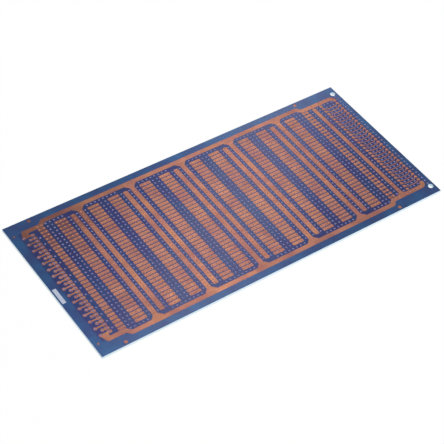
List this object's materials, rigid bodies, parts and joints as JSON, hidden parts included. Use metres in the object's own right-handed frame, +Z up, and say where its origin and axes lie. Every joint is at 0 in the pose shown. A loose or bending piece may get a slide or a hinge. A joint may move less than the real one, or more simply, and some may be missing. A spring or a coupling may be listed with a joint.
{
  "type": "prototype board",
  "caption": "Flat drilled prototype board with copper strips, two comb-shaped supply buses, a row of connector lands, a pad field and blue solder resist.",
  "frame": {"origin": "centre of the laminate's underside", "axes": "+X along the board away from the connector end, +Y towards the far long edge, +Z up out of the copper side"},
  "size_m": [0.22, 0.1, 0.0016],
  "materials": {
    "laminate": "satin",
    "solder_resist": "gloss",
    "copper": "satin",
    "legend_ink": "matte"
  },
  "bodies": {
    "root": {"laminate": "laminate", "solder_resist": "solder_resist", "far_bus_comb": "copper", "near_bus_comb": "copper", "connector_lands_outer": "copper", "connector_lands_inner": "copper", "lead_strips_left": "copper", "lead_strips_right": "copper", "socket_strips_1": "copper", "socket_strips_2": "copper", "socket_strips_3": "copper", "socket_strips_4": "copper", "socket_strips_5": "copper", "socket_strips_6": "copper", "socket_strips_7": "copper", "socket_strips_8": "copper", "socket_strips_9": "copper", "socket_strips_10": "copper", "pad_links": "copper", "registration_dots": "copper", "connector_location_dots": "copper", "writing_field": "legend_ink"}
  },
  "joints": []
}
